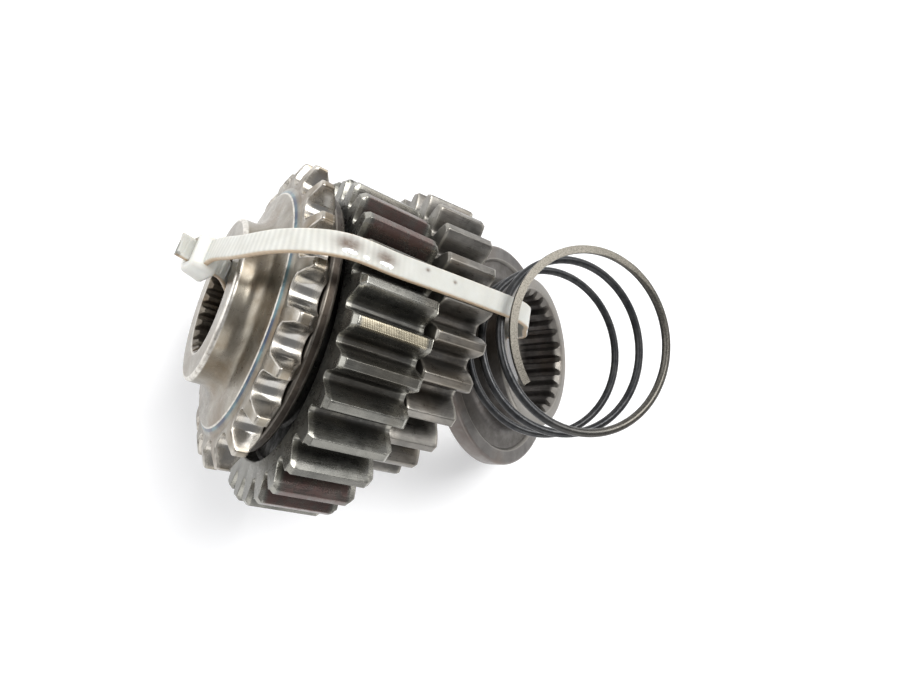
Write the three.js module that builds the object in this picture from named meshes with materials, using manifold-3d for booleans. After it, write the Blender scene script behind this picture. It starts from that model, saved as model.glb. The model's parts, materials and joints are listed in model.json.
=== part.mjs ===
// A used gearbox shaft set, strung on a nylon cable tie and lying on a table: a chain sprocket with a
// splined hub, a thrust disc, two spur gears with bushes, a sliding sleeve and a compression spring.
// Millimetres, +Z up. +X is the level heading of the sprocket's shaft, from its hub towards the gears.
// The origin is under the middle of the set, on the surface that it lies on.

import * as THREE from 'three';
import { mergeVertices } from 'three/addons/utils/BufferGeometryUtils.js';
import Module from 'manifold-3d';

// Clearances
const GAP = 0.3; // between neighbours that rest on each other

// Shaft spline shared by the sprocket and the shaft that it came from
const SHAFT_SPLINES = 24;
const SHAFT_SPLINE_ROOT_R = 12;
const SHAFT_SPLINE_TIP_R = 11;

// Sprocket for 9.525 mm (3/8 inch) chain; z = 0 is the front edge of the flats on its tooth tips
const SPROCKET_TEETH = 21;
const CHAIN_PITCH = 9.525;
const CHAIN_ROLLER_R = 3.175;
const SPROCKET_TIP_R = 34.4;
const SPROCKET_TIP_FLAT = 2.4; // axial length of the flat left on a tooth tip
const SPROCKET_FRONT = -1.4;
const SPROCKET_BACK = 4.4;
const TOOTH_BEVEL_R = 30.8; // where the bevels on the tooth sides start
const HUB_R = 18;
const HUB_END = -8.9;
const FLANGE_R = 26.4;
const FLANGE_FACE = -2.3;
const FLANGE_FOOT_R = 28;

// Thrust disc behind the sprocket
const THRUST_DISC_R = 29.5;
const THRUST_DISC_THICKNESS = 2.4;
const THRUST_DISC_BORE_R = 13;

// Spur gears; z = 0 is the front end of the flats on the tooth tips
const PRESSURE_ANGLE = THREE.MathUtils.degToRad(20);
const GEAR_BORE_R = 15.2;
const BUSH_WALL = 2.3;
const WIDE_GEAR = {
  teeth: 30, tipR: 37.4, flat: 14.8, chamfer: 1.1, recessR: 28.5, recessDepth: 4, hubR: 20,
};
const NARROW_GEAR = {
  teeth: 25, tipR: 33.7, flat: 10.6, chamfer: 0.6, recessR: 25.5, recessDepth: 2, hubR: 19.5,
};

// Sliding sleeve; z = 0 is its open end face
const SLEEVE_SPLINES = 25;
const SLEEVE_SPLINE_ROOT_R = 16.7;
const SLEEVE_SPLINE_TIP_R = 15.3;
const SLEEVE_R = 20.2;
const SLEEVE_LENGTH = 14.2;
const SLEEVE_FLANGE_R = 30.3;
const SLEEVE_FLANGE_FACE = -9.4;
const SLEEVE_GROOVE_R = [22.6, 26.4];
const SLEEVE_GROOVE_DEPTH = 1.2;

// Compression spring; z = 0 is the middle of the wire in its ground end coil
const SPRING_R = 20; // outside
const WIRE_R = 0.9;
const GROUND_HEIGHT = 0.35; // left above the middle of the wire by the grinding
const SPRING_TURNS = 3.3;
const SPRING_PITCH = 9.1;
const DEAD_TURNS = 0.3; // lying flat at each end
const EASE_TURNS = 0.3; // over which the wire bends from flat to its full pitch
const SPRING_DROP = SPRING_PITCH * (SPRING_TURNS - 2 * DEAD_TURNS - EASE_TURNS); // between the ends

// Cable tie
const STRAP_WIDTH = 4.8;
const STRAP_THICKNESS = 1.2;
const HEAD = { along: 6.6, through: 5, across: 8, slotMargin: 0.3 };
const TAIL_STUB = 2.5; // cut end standing out of the head

// Where each piece lies: the place of its z = 0, the heading and the climb of its axis in degrees, and
// the turn that brings one tooth or the wire's end to its place
const POSES = {
  sprocket: { at: [-7.5, 3.6, 42.4], heading: 0, climb: -15.3, turn: 7.5 },
  wideGear: { at: [1.6, 1, 40], heading: 0, climb: -15.3, turn: 2.9 },
  narrowGear: { at: [20.2, 9.5, 35.4], heading: 1.7, climb: -12.6, turn: 7.7 },
  sleeve: { at: [64.2, 16.8, 30.6], heading: 25.2, climb: 48.1, turn: 0 },
  spring: { at: [59.4, 18.8, 69.1], heading: 74.9, climb: 79.1, turn: 150.6 },
};

// The tie's loop lies near one slanted plane: level along X, and leaning 22 degrees from upright
const STRAP_ACROSS = new THREE.Vector3(0, 0.93, -0.37).normalize();
const LOOP_LEVEL = new THREE.Vector3(1, 0, 0);
const LOOP_UP = new THREE.Vector3().crossVectors(LOOP_LEVEL, STRAP_ACROSS);
const HEAD_AT = new THREE.Vector3(-18.8, 10.3, 55.4);
const HEAD_CLIMB = THREE.MathUtils.degToRad(62); // of the strap where it leaves the head
// From the head over the teeth, between two coils, through the sleeve and back through the bores
const STRAP_ROUTE = [
  [-11.8, 13.2, 66.8], [-6, 15.4, 73], [0, 17.2, 75.6], [6, 18.5, 74.9], [16, 18.8, 71.6],
  [26, 19.3, 68.6], [36, 19.6, 66.2], [42.5, 19.6, 65], [46.2, 19.6, 61.6], [49, 19.5, 55],
  [52.8, 19.4, 46], [53.6, 19.4, 40], [51.2, 18.5, 35.4], [47.4, 16.8, 30.8], [42.6, 14.8, 26.6],
  [38, 13.4, 28.4], [31, 12.6, 34.4], [22, 10.2, 38.6], [12, 7.6, 42.2], [3, 6.8, 45],
  [-6, 6.6, 47.2], [-12, 7, 49],
];

const wasm = await Module();
wasm.setup();

function solidFrom(geometry) {
  const bare = geometry.index ? geometry.toNonIndexed() : geometry.clone();
  for (const name of ['normal', 'uv']) bare.deleteAttribute(name);
  const welded = mergeVertices(bare, 1e-4);
  return new wasm.Manifold(new wasm.Mesh({
    numProp: 3,
    vertProperties: new Float32Array(welded.attributes.position.array),
    triVerts: new Uint32Array(welded.index.array),
  }));
}

function geometryFrom(solid) {
  const { vertProperties, triVerts } = solid.getMesh();
  const geometry = new THREE.BufferGeometry();
  geometry.setAttribute('position', new THREE.BufferAttribute(vertProperties, 3));
  geometry.setIndex(new THREE.BufferAttribute(triVerts, 1));
  geometry.computeVertexNormals();
  return geometry;
}

// A solid of revolution about Z from [radius, z] points that start and end on the axis
function turned(points, segments) {
  const profile = points.map(([r, z]) => new THREE.Vector2(r, z));
  return new THREE.LatheGeometry(profile, segments).rotateX(Math.PI / 2);
}

// A ring about Z from [radius, z] points that close on themselves
function ring(points, segments) {
  return turned([...points, points[0]], segments);
}

function extruded(shape, z0, z1) {
  return new THREE.ExtrudeGeometry(shape, { depth: z1 - z0, bevelEnabled: false }).translate(0, 0, z0);
}

function polar(r, angle) {
  return new THREE.Vector2(r * Math.cos(angle), r * Math.sin(angle));
}

// Repeats a tooth's [radius, angle] points around a circle
function toothedShape(teeth, toothPoints) {
  const points = [];
  for (let tooth = 0; tooth < teeth; tooth++) {
    const turn = (tooth / teeth) * 2 * Math.PI;
    for (const [r, angle] of toothPoints) points.push(polar(r, angle + turn));
  }
  return new THREE.Shape(points);
}

// An involute spur tooth: half of its angle at radius r is the half at the pitch circle, narrowed by the
// involute function
function involuteTooth(teeth, tipR) {
  const module = (2 * tipR) / (teeth + 2);
  const pitchR = (module * teeth) / 2;
  const baseR = pitchR * Math.cos(PRESSURE_ANGLE);
  const rootR = tipR - 2.25 * module;
  const involute = (angle) => Math.tan(angle) - angle;
  const halfAngle = (r) => {
    const pressure = Math.acos(Math.min(1, baseR / r));
    return Math.PI / (2 * teeth) + involute(PRESSURE_ANGLE) - involute(pressure);
  };
  const flank = [0.12, 0.3, 0.55, 0.8, 1].map((s) => rootR + s * (tipR - rootR));
  const rootHalf = halfAngle(rootR) * 1.28; // a fillet widens the tooth at its root
  const rising = [[rootR, -rootHalf], ...flank.map((r) => [r, -halfAngle(r)])];
  const falling = rising.map(([r, angle]) => [r, -angle]).reverse();
  return [...rising, ...falling];
}

// A roller chain tooth: half a roller seat, a straight flank and the tip on each side
function chainTooth(teeth) {
  const pitchR = CHAIN_PITCH / (2 * Math.sin(Math.PI / teeth));
  const halfPitch = Math.PI / teeth;
  const tipHalf = 1 / SPROCKET_TIP_R;
  const seat = [];
  for (const degrees of [0, 22, 44, 64]) {
    const angle = THREE.MathUtils.degToRad(degrees);
    const x = pitchR - (CHAIN_ROLLER_R + 0.1) * Math.cos(angle);
    const y = (CHAIN_ROLLER_R + 0.1) * Math.sin(angle);
    seat.push([Math.hypot(x, y), Math.atan2(y, x) - halfPitch]);
  }
  const rising = [...seat, [SPROCKET_TIP_R, -tipHalf]];
  const falling = rising.slice(1).map(([r, angle]) => [r, -angle]).reverse();
  return [...rising, ...falling];
}

// The teeth of an internal spline, as the solid that cuts them
function splineCutter(teeth, rootR, tipR, z0, z1) {
  const step = (2 * Math.PI) / teeth;
  const profile = [[tipR, -0.32 * step], [rootR, -0.14 * step], [rootR, 0.14 * step], [tipR, 0.32 * step]];
  return solidFrom(extruded(toothedShape(teeth, profile), z0, z1));
}

function boreCutter(r, z0, z1) {
  return solidFrom(turned([[0, z0], [r, z0], [r, z1], [0, z1]], 48));
}

// A countersink at the end face of a bore, opening towards -Z or +Z
function countersink(r, faceZ, outward) {
  const points = [[0, faceZ - outward], [r - 1, faceZ - outward], [r + 0.4, faceZ + 0.4 * outward],
    [0, faceZ + 0.4 * outward]];
  return solidFrom(turned(outward > 0 ? points : points.reverse(), 48));
}

function sprocketGeometry() {
  const flare = [];
  for (const degrees of [0, 25, 50, 75]) { // the sweep from the hub into the flange
    const angle = THREE.MathUtils.degToRad(degrees);
    flare.push([HUB_R + 3.6 * (1 - Math.cos(angle)), -6.4 + 3.4 * Math.sin(angle)]);
  }
  const body = solidFrom(turned([
    [0, HUB_END], [HUB_R - 0.8, HUB_END], [HUB_R, HUB_END + 0.8], ...flare, [FLANGE_R, FLANGE_FACE],
    [FLANGE_FOOT_R, SPROCKET_FRONT], [FLANGE_FOOT_R, SPROCKET_BACK], [0, SPROCKET_BACK],
  ], 72));
  const toothed = solidFrom(extruded(
    toothedShape(SPROCKET_TEETH, chainTooth(SPROCKET_TEETH)), SPROCKET_FRONT, SPROCKET_BACK,
  ));
  const bevels = solidFrom(turned([
    [0, SPROCKET_FRONT], [TOOTH_BEVEL_R, SPROCKET_FRONT], [SPROCKET_TIP_R + 0.1, 0],
    [SPROCKET_TIP_R + 0.1, SPROCKET_TIP_FLAT], [TOOTH_BEVEL_R, SPROCKET_BACK], [0, SPROCKET_BACK],
  ], 84));
  const bore = splineCutter(
    SHAFT_SPLINES, SHAFT_SPLINE_ROOT_R, SHAFT_SPLINE_TIP_R, HUB_END - 1, SPROCKET_BACK + 1,
  );
  const chamfer = countersink(SHAFT_SPLINE_ROOT_R, HUB_END, -1);
  return geometryFrom(toothed.intersect(bevels).add(body).subtract(bore).subtract(chamfer));
}

function thrustDiscGeometry() {
  const z0 = SPROCKET_BACK + GAP;
  const z1 = z0 + THRUST_DISC_THICKNESS;
  const edge = 0.5;
  return ring([
    [THRUST_DISC_BORE_R, z0], [THRUST_DISC_R - edge, z0], [THRUST_DISC_R, z0 + edge],
    [THRUST_DISC_R, z1 - edge], [THRUST_DISC_R - edge, z1], [THRUST_DISC_BORE_R, z1],
  ], 60);
}

function gearFaces({ flat, chamfer }) {
  return { front: -chamfer, back: flat + chamfer };
}

function spurGearGeometry(gear) {
  const { teeth, tipR, flat, chamfer, recessR, recessDepth, hubR } = gear;
  const { front, back } = gearFaces(gear);
  const toothed = solidFrom(extruded(toothedShape(teeth, involuteTooth(teeth, tipR)), front, back));
  const outerR = tipR + 0.1;
  const chamfered = solidFrom(turned([
    [0, front], [outerR - chamfer, front], [outerR, 0], [outerR, flat], [outerR - chamfer, back], [0, back],
  ], 60));
  const recess = (z0, z1) => solidFrom(ring([[hubR, z0], [recessR, z0], [recessR, z1], [hubR, z1]], 48));
  return geometryFrom(toothed.intersect(chamfered)
    .subtract(recess(front - 1, front + recessDepth))
    .subtract(recess(back - recessDepth, back + 1))
    .subtract(boreCutter(GEAR_BORE_R, front - 1, back + 1)));
}

function bushGeometry(gear) {
  const { front, back } = gearFaces(gear);
  const outerR = GEAR_BORE_R - GAP;
  const innerR = outerR - BUSH_WALL;
  const edge = 0.6;
  return ring([
    [innerR + edge, front], [outerR, front], [outerR, back], [innerR + edge, back],
    [innerR, back - edge], [innerR, front + edge],
  ], 48);
}

function sleeveGeometry() {
  const [grooveR0, grooveR1] = SLEEVE_GROOVE_R;
  const grooveZ = SLEEVE_FLANGE_FACE - SLEEVE_GROOVE_DEPTH;
  const edge = 0.6;
  const body = solidFrom(turned([
    [0, -SLEEVE_LENGTH], [SLEEVE_FLANGE_R - edge, -SLEEVE_LENGTH],
    [SLEEVE_FLANGE_R, -SLEEVE_LENGTH + edge], [SLEEVE_FLANGE_R, SLEEVE_FLANGE_FACE - edge],
    [SLEEVE_FLANGE_R - edge, SLEEVE_FLANGE_FACE], [grooveR1, SLEEVE_FLANGE_FACE], [grooveR1 - edge, grooveZ],
    [grooveR0, grooveZ], [SLEEVE_R + 0.7, grooveZ + 1], [SLEEVE_R, grooveZ + 3.4],
    [SLEEVE_R, -edge], [SLEEVE_R - edge, 0], [0, 0],
  ], 72));
  const bore = splineCutter(
    SLEEVE_SPLINES, SLEEVE_SPLINE_ROOT_R, SLEEVE_SPLINE_TIP_R, -SLEEVE_LENGTH - 1, 1,
  );
  return geometryFrom(body.subtract(bore));
}

// How far the spring's wire has come down, after some turns past the end of a dead coil
function easedDrop(turns) {
  const free = Math.max(0, turns);
  return SPRING_PITCH * (free < EASE_TURNS ? free ** 2 / (2 * EASE_TURNS) : free - EASE_TURNS / 2);
}

// The middle of the spring's wire, winding clockwise from above as it goes down
class SpringCurve extends THREE.Curve {
  getPoint(t, target = new THREE.Vector3()) {
    const turns = t * SPRING_TURNS;
    const drop = turns < SPRING_TURNS / 2
      ? easedDrop(turns - DEAD_TURNS)
      : SPRING_DROP - easedDrop(SPRING_TURNS - DEAD_TURNS - turns);
    const angle = -turns * 2 * Math.PI;
    const r = SPRING_R - WIRE_R;
    return target.set(r * Math.cos(angle), r * Math.sin(angle), -drop);
  }
}

function springGeometry() {
  const section = new THREE.Shape(Array.from({ length: 8 }, (_, i) => polar(WIRE_R, (i + 0.5) * (Math.PI / 4))));
  const wire = solidFrom(new THREE.ExtrudeGeometry(section, {
    steps: Math.round(SPRING_TURNS * 26), extrudePath: new SpringCurve(), bevelEnabled: false,
  }));
  const slab = solidFrom(new THREE.BoxGeometry(3 * SPRING_R, 3 * SPRING_R, SPRING_DROP + 2 * GROUND_HEIGHT)
    .translate(0, 0, -SPRING_DROP / 2));
  return geometryFrom(wire.intersect(slab));
}

// A curve that keeps a strap's width along STRAP_ACROSS
class StrapCurve extends THREE.CatmullRomCurve3 {
  computeFrenetFrames(segments) {
    const frames = { tangents: [], normals: [], binormals: [] };
    for (let i = 0; i <= segments; i++) {
      const tangent = this.getTangentAt(i / segments);
      const normal = STRAP_ACROSS.clone().addScaledVector(tangent, -STRAP_ACROSS.dot(tangent)).normalize();
      frames.tangents.push(tangent);
      frames.normals.push(normal);
      frames.binormals.push(new THREE.Vector3().crossVectors(tangent, normal));
    }
    return frames;
  }
}

function headAxes() {
  const along = LOOP_LEVEL.clone().multiplyScalar(Math.cos(HEAD_CLIMB))
    .addScaledVector(LOOP_UP, Math.sin(HEAD_CLIMB));
  const through = LOOP_LEVEL.clone().multiplyScalar(-Math.sin(HEAD_CLIMB))
    .addScaledVector(LOOP_UP, Math.cos(HEAD_CLIMB));
  return { along, through };
}

function strapGeometry() {
  const { along, through } = headAxes();
  const fromHead = (a, t) => HEAD_AT.clone().addScaledVector(along, a).addScaledVector(through, t);
  const curve = new StrapCurve([
    fromHead(HEAD.along / 2 - 1, 0), fromHead(HEAD.along / 2 + 2, 0),
    ...STRAP_ROUTE.map((point) => new THREE.Vector3(...point)),
    fromHead(0, -HEAD.through / 2 - 2), fromHead(0, 0), fromHead(0, HEAD.through / 2 + TAIL_STUB),
  ], false, 'centripetal');
  const [w, t, edge] = [STRAP_WIDTH / 2, STRAP_THICKNESS / 2, 0.2];
  const section = new THREE.Shape([
    [w, t - edge], [w - edge, t], [edge - w, t], [-w, t - edge],
    [-w, edge - t], [edge - w, -t], [w - edge, -t], [w, edge - t],
  ].map(([x, y]) => new THREE.Vector2(x, y)));
  return new THREE.ExtrudeGeometry(section, { steps: 96, extrudePath: curve, bevelEnabled: false });
}

function headGeometry() {
  const [a, w, edge] = [HEAD.along / 2, HEAD.across / 2, 0.9];
  const outline = new THREE.Shape([
    [a, edge - w], [a, w - edge], [a - edge, w], [edge - a, w],
    [-a, w - edge], [-a, edge - w], [edge - a, -w], [a - edge, -w],
  ].map(([x, y]) => new THREE.Vector2(x, y)));
  const slotA = STRAP_THICKNESS / 2 + HEAD.slotMargin;
  const slotW = STRAP_WIDTH / 2 + HEAD.slotMargin;
  outline.holes.push(new THREE.Path([
    new THREE.Vector2(-slotA, -slotW), new THREE.Vector2(-slotA, slotW),
    new THREE.Vector2(slotA, slotW), new THREE.Vector2(slotA, -slotW),
  ]));
  const { along, through } = headAxes();
  const placed = new THREE.Matrix4().makeBasis(along, new THREE.Vector3().crossVectors(through, along), through)
    .setPosition(HEAD_AT);
  return extruded(outline, -HEAD.through / 2, HEAD.through / 2).applyMatrix4(placed);
}

function cableTieGeometry() {
  return geometryFrom(solidFrom(strapGeometry()).add(solidFrom(headGeometry())));
}

function steel(color, roughness, metalness = 0.9) {
  return new THREE.MeshStandardMaterial({ color, roughness, metalness });
}

function named(name, geometry, material, turn = 0) {
  const mesh = new THREE.Mesh(geometry, material);
  mesh.name = name;
  mesh.rotation.z = THREE.MathUtils.degToRad(turn);
  return mesh;
}

// Lays a group's Z axis along a heading and a climb
function laid({ at, heading, climb }, ...meshes) {
  const group = new THREE.Group();
  group.position.set(...at);
  group.rotation.order = 'ZYX';
  group.rotation.set(0, THREE.MathUtils.degToRad(90 - climb), THREE.MathUtils.degToRad(heading));
  group.add(...meshes);
  return group;
}

const set = new THREE.Group();
set.add(
  laid(
    POSES.sprocket,
    named('sprocket', sprocketGeometry(), steel(0x8d8780, 0.32), POSES.sprocket.turn),
    named('thrust_disc', thrustDiscGeometry(), steel(0x5a4f47, 0.45)),
  ),
  laid(
    POSES.wideGear,
    named('wide_gear', spurGearGeometry(WIDE_GEAR), steel(0x4b4a49, 0.35), POSES.wideGear.turn),
    named('wide_gear_bush', bushGeometry(WIDE_GEAR), steel(0x8a6f45, 0.4)),
  ),
  laid(
    POSES.narrowGear,
    named('narrow_gear', spurGearGeometry(NARROW_GEAR), steel(0x57524c, 0.42), POSES.narrowGear.turn),
    named('narrow_gear_bush', bushGeometry(NARROW_GEAR), steel(0x8a6f45, 0.4)),
  ),
  laid(POSES.sleeve, named('sliding_sleeve', sleeveGeometry(), steel(0x4c4a4a, 0.4), POSES.sleeve.turn)),
  laid(POSES.spring, named('spring', springGeometry(), steel(0x2f3032, 0.45), POSES.spring.turn)),
  named('cable_tie', cableTieGeometry(), new THREE.MeshStandardMaterial({
    color: 0xe8e5dc, roughness: 0.5, metalness: 0,
  })),
);

// Stands the set on z = 0 with the middle of its box over the origin
set.updateMatrixWorld(true);
const box = new THREE.Box3().setFromObject(set, true);
const middle = box.getCenter(new THREE.Vector3());
set.position.set(-middle.x, -middle.y, -box.min.z);

export default set;
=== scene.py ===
import json
import math

import bpy
import numpy as np
from mathutils import Matrix, Vector


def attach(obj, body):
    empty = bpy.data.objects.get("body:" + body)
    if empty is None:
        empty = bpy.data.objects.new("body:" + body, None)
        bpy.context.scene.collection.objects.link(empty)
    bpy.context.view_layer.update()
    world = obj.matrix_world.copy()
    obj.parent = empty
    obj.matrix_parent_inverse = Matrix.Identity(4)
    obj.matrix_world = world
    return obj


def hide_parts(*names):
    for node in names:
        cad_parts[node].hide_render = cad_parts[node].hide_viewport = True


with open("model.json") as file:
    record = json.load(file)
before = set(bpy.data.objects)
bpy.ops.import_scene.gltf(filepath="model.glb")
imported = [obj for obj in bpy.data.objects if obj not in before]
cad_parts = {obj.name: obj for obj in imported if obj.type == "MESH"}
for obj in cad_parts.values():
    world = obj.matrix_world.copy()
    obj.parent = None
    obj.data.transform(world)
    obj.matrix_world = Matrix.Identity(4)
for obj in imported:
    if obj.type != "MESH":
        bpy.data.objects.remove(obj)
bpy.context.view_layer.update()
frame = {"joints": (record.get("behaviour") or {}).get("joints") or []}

# A used gearbox shaft set strung on a nylon cable tie: a chain sprocket, a thrust disc, two spur
# gears on bushes, a splined sleeve and a spring. Lengths are in millimetres, in each piece's own
# axes with Z along its bore; placed_mesh turns them into the frame's metres. Lights and the camera
# are placed in metres.
MM = 0.001
FULL_TURN = 2 * math.pi
JOINTS = {joint["name"]: joint for joint in frame["joints"]}

# Sprocket
SPROCKET_TEETH, CHAIN_PITCH, ROLLER_R, SEAT_CLEARANCE = 21, 9.525, 3.175, 0.1
SPROCKET_TIP_R, SPROCKET_FRONT, SPROCKET_BACK, SPROCKET_TIP_FLAT = 34.4, -1.4, 4.4, 2.4
TOOTH_BEVEL_R = 30.8  # where the sides of the teeth start to slope
HUB_R, HUB_END, HUB_CORNER = 18, -8.9, 0.7
HUB_FILLET_START, HUB_FILLET_OUT, HUB_FILLET_RISE = -6.4, 3.6, 3.4
FLANGE_R, FLANGE_FACE, FLANGE_FOOT_R = 26.4, -2.3, 28
FLANGE_DOME = [(22.2, -2.94), (23.4, -2.78), (24.8, -2.58), (26, -2.4)]
SPROCKET_SEAM_R = 14.8  # on both end faces, between the outside's skin and the bore's
SHAFT_SPLINES, SHAFT_ROOT_R, SHAFT_TIP_R = 24, 12, 11

# Thrust disc
DISC_R, DISC_BORE_R, DISC_FRONT, DISC_BACK, DISC_EDGE = 29.5, 13, 4.7, 7.1, 0.6

# Gears: "flat" is the length of the teeth at full height, "chamfer" the bevel on each end of their
# tips, "recess" and "hub" the radii between which each face is sunk by "depth", "corner" the
# rounding along the tips and "edge" the rounding around the ends of the teeth.
GEAR_BORE_R, BUSH_R, BUSH_BORE_R = 15.2, 14.9, 12.6
PRESSURE_ANGLE = math.radians(20)
ROOT_CLEARANCE = 0.25  # in modules
WIDE_GEAR = {
    "teeth": 30, "tip": 37.4, "flat": 14.8, "chamfer": 1.1, "recess": 28.5, "depth": 4, "hub": 20,
    "corner": 0.1, "edge": 0.16,
}
NARROW_GEAR = {
    "teeth": 25, "tip": 33.7, "flat": 10.6, "chamfer": 0.6, "recess": 25.5, "depth": 2, "hub": 19.5,
    "corner": 0.2, "edge": 0.3,
}
GROUND_TOOTH = 14  # of the wide gear, with a bare ground land
FILMED_TEETH = (10, 11, 19, 20)  # of the wide gear, with a maroon film

# Sliding sleeve
SLEEVE_SPLINES, SLEEVE_ROOT_R, SLEEVE_TIP_R = 25, 16.7, 15.3
SLEEVE_R, SLEEVE_LENGTH, SLEEVE_FLANGE_R, SLEEVE_FLANGE_FACE = 20.2, 14.2, 30.3, -9.4
GROOVE_R0, GROOVE_R1, GROOVE_DEPTH = 22.6, 26.4, 1.2
SLEEVE_FILLET_OUT, SLEEVE_FILLET_RISE = 1.7, 3.2
SLEEVE_SEAM_R = 18.2

# Spring. Its end coils are dead for part of a turn, and the pitch eases in after that.
SPRING_R, WIRE_R, GROUND_HEIGHT, SPRING_TURNS = 20, 0.9, 0.35, 3.3
SPRING_PITCH, DEAD_TURNS, EASE_TURNS = 9.1, 0.3, 0.3
SPRING_DROP = SPRING_PITCH * (SPRING_TURNS - 2 * DEAD_TURNS - EASE_TURNS)
SECTIONS_PER_TURN, WIRE_SIDES = 130, 28

# How far the photo shows each piece turned about its bore, in degrees
SPROCKET_TURN, WIDE_GEAR_TURN, NARROW_GEAR_TURN, SPRING_TURN = 7.5, 2.9, 7.7, 150.6

# Cable tie, in the row frame's directions. Its places count from a point of its own, tie_origin.
STRAP_WIDTH, STRAP_THICKNESS, STRAP_SECTIONS, STEPS_PER_STOP = 4.8, 1.2, 960, 40
RIB_PITCH, RIB_DEPTH, RIBBED_HALF_WIDTH = 1.1, 0.24, 1.65
HEAD_ALONG, HEAD_THROUGH, HEAD_ACROSS, SLOT_MARGIN, TAIL_STUB = 6.6, 5, 8, 0.3, 2.5
HEAD_CLIMB = math.radians(62)  # of the strap where it leaves the head
SPROCKET_AT = np.array([-7.5, 3.6, 42.4])  # where the tie's route below has the sprocket
HEAD_AT = np.array([-18.8, 10.3, 55.4])
STRAP_ACROSS = np.array([0, 0.93, -0.37]) / np.linalg.norm([0.93, 0.37])
STRAP_ROUTE = [
    (-11.8, 13.2, 66.8), (-6, 15.4, 73), (0, 17.2, 75.6), (6, 18.5, 74.9), (16, 18.8, 71.6),
    (26, 19.3, 68.6), (36, 19.6, 66.2), (42.5, 19.6, 65), (46.2, 19.6, 61.6), (49, 19.5, 55),
    (52.8, 19.4, 46), (53.6, 19.4, 40), (51.2, 18.5, 35.4), (47.4, 16.8, 30.8), (42.6, 14.8, 26.6),
    (38, 13.4, 28.4), (31, 12.6, 34.4), (22, 10.2, 38.6), (12, 7.6, 42.2), (3, 6.8, 45),
    (-6, 6.6, 47.2), (-12, 7, 49),
]
# Spots on the strap's outer face: how far along it and across from its middle, and their half
# length and half width
SCORCHES = ((33, 0.3, 2.6, 1.5), (40.3, 0.2, 2.3, 1.4), (49.5, 1.0, 0.5, 0.4), (55.8, 0.5, 0.4, 0.35))
FLAKES = ((33.2, -1.2, 1.4, 0.5), (36.4, -1.35, 0.6, 0.4), (40.7, -1.2, 1.5, 0.5))
BLISTER_HEIGHT, SCORCH_DEPTH = 0.3, 0.12


def axle(joint_name, turn=0.0):
    """From a piece's own axes, turned by some degrees about its bore, to the row frame."""
    joint = JOINTS[joint_name]
    x, y, z = joint["axis"]
    return (
        Matrix.Translation(joint["pos_m"])
        @ Matrix.Rotation(math.atan2(y, x), 4, "Z")
        @ Matrix.Rotation(math.pi / 2 - math.asin(z), 4, "Y")
        @ Matrix.Rotation(math.radians(turn), 4, "Z")
    )


# ---- Meshes ----

# What the materials read at each point, from 0 to 1: how far it is rubbed bright, how dirty it is
# together with painted shade in bores, recesses and tooth roots, and two that each material uses in
# its own way, for a tint or bare metal and for a patch.
MARKS = ("wear", "soil", "tint", "patch")


class Skin:
    """Rows of points, all of one length, joined into a surface, with the marks at each point."""

    def __init__(self, directions=None):
        """directions, the unit vectors of each row's points, are for rows that are rings."""
        self.directions = directions
        self.points, self.marks = [], {name: [] for name in MARKS}

    def row(self, points, **marks):
        self.points.append(points)
        for name, values in self.marks.items():
            values.append(np.broadcast_to(marks.get(name, 0.0), len(points)))

    def outline(self, xy, z, **marks):
        self.row(np.column_stack([xy, np.broadcast_to(z, len(xy))]), **marks)

    def ring(self, radius, z, **marks):
        reach = np.broadcast_to(radius, len(self.directions))[:, None]
        self.outline(self.directions * reach, z, **marks)

    def rings(self, profile, **marks):
        for radius, z in profile:
            self.ring(radius, z, **marks)

    def faces(self, first, closed, capped):
        """Faces by point number, counted from first. closed joins the last row to the first, and
        capped fills both of them in."""
        rows, columns = len(self.points), len(self.points[0])
        index = first + np.arange(rows * columns).reshape(rows, columns)
        low = index if closed else index[:-1]
        high = np.roll(index, -1, axis=0) if closed else index[1:]
        quads = np.stack([low, np.roll(low, -1, 1), np.roll(high, -1, 1), high], axis=-1)
        faces = quads.reshape(-1, 4).tolist()
        if capped:
            faces += [index[0][::-1].tolist(), index[-1].tolist()]
        return faces


def placed_mesh(name, points, faces, place):
    """A mesh in the row frame, which keeps each point's place on its own piece for the materials."""
    points = np.asarray(points, float)
    matrix = np.array(place)
    mesh = bpy.data.meshes.new(name)
    mesh.from_pydata((points * MM @ matrix[:3, :3].T + matrix[:3, 3]).tolist(), [], faces)
    own = mesh.attributes.new("own_place", "FLOAT_VECTOR", "POINT")
    own.data.foreach_set("vector", points.astype(np.float32).ravel())
    return mesh


def build(name, skins, place, material, body, node, closed=True, capped=False, sharp=34):
    """A visible piece in place of a CAD node. Edges sharper than sharp degrees stay sharp."""
    vertices, faces, marks = [], [], {mark: [] for mark in MARKS}
    for skin in skins:
        faces += skin.faces(sum(len(v) for v in vertices), closed, capped)
        vertices.append(np.concatenate(skin.points))
        for mark in marks:
            marks[mark].append(np.concatenate(skin.marks[mark]))
    mesh = placed_mesh(name, np.concatenate(vertices), faces, place)
    for mark, values in marks.items():
        layer = mesh.attributes.new(mark, "FLOAT", "POINT")
        layer.data.foreach_set("value", np.concatenate(values).astype(np.float32))
    mesh.shade_smooth()
    mesh.set_sharp_from_angle(angle=math.radians(sharp))
    mesh.materials.append(material)
    piece = bpy.data.objects.new(name, mesh)
    bpy.context.scene.collection.objects.link(piece)
    weighted = piece.modifiers.new("even_faces", "WEIGHTED_NORMAL")
    weighted.keep_sharp = True
    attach(piece, body)
    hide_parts(node)


def circle(count):
    angles = np.arange(count) * FULL_TURN / count
    return np.column_stack([np.cos(angles), np.sin(angles)])


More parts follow.
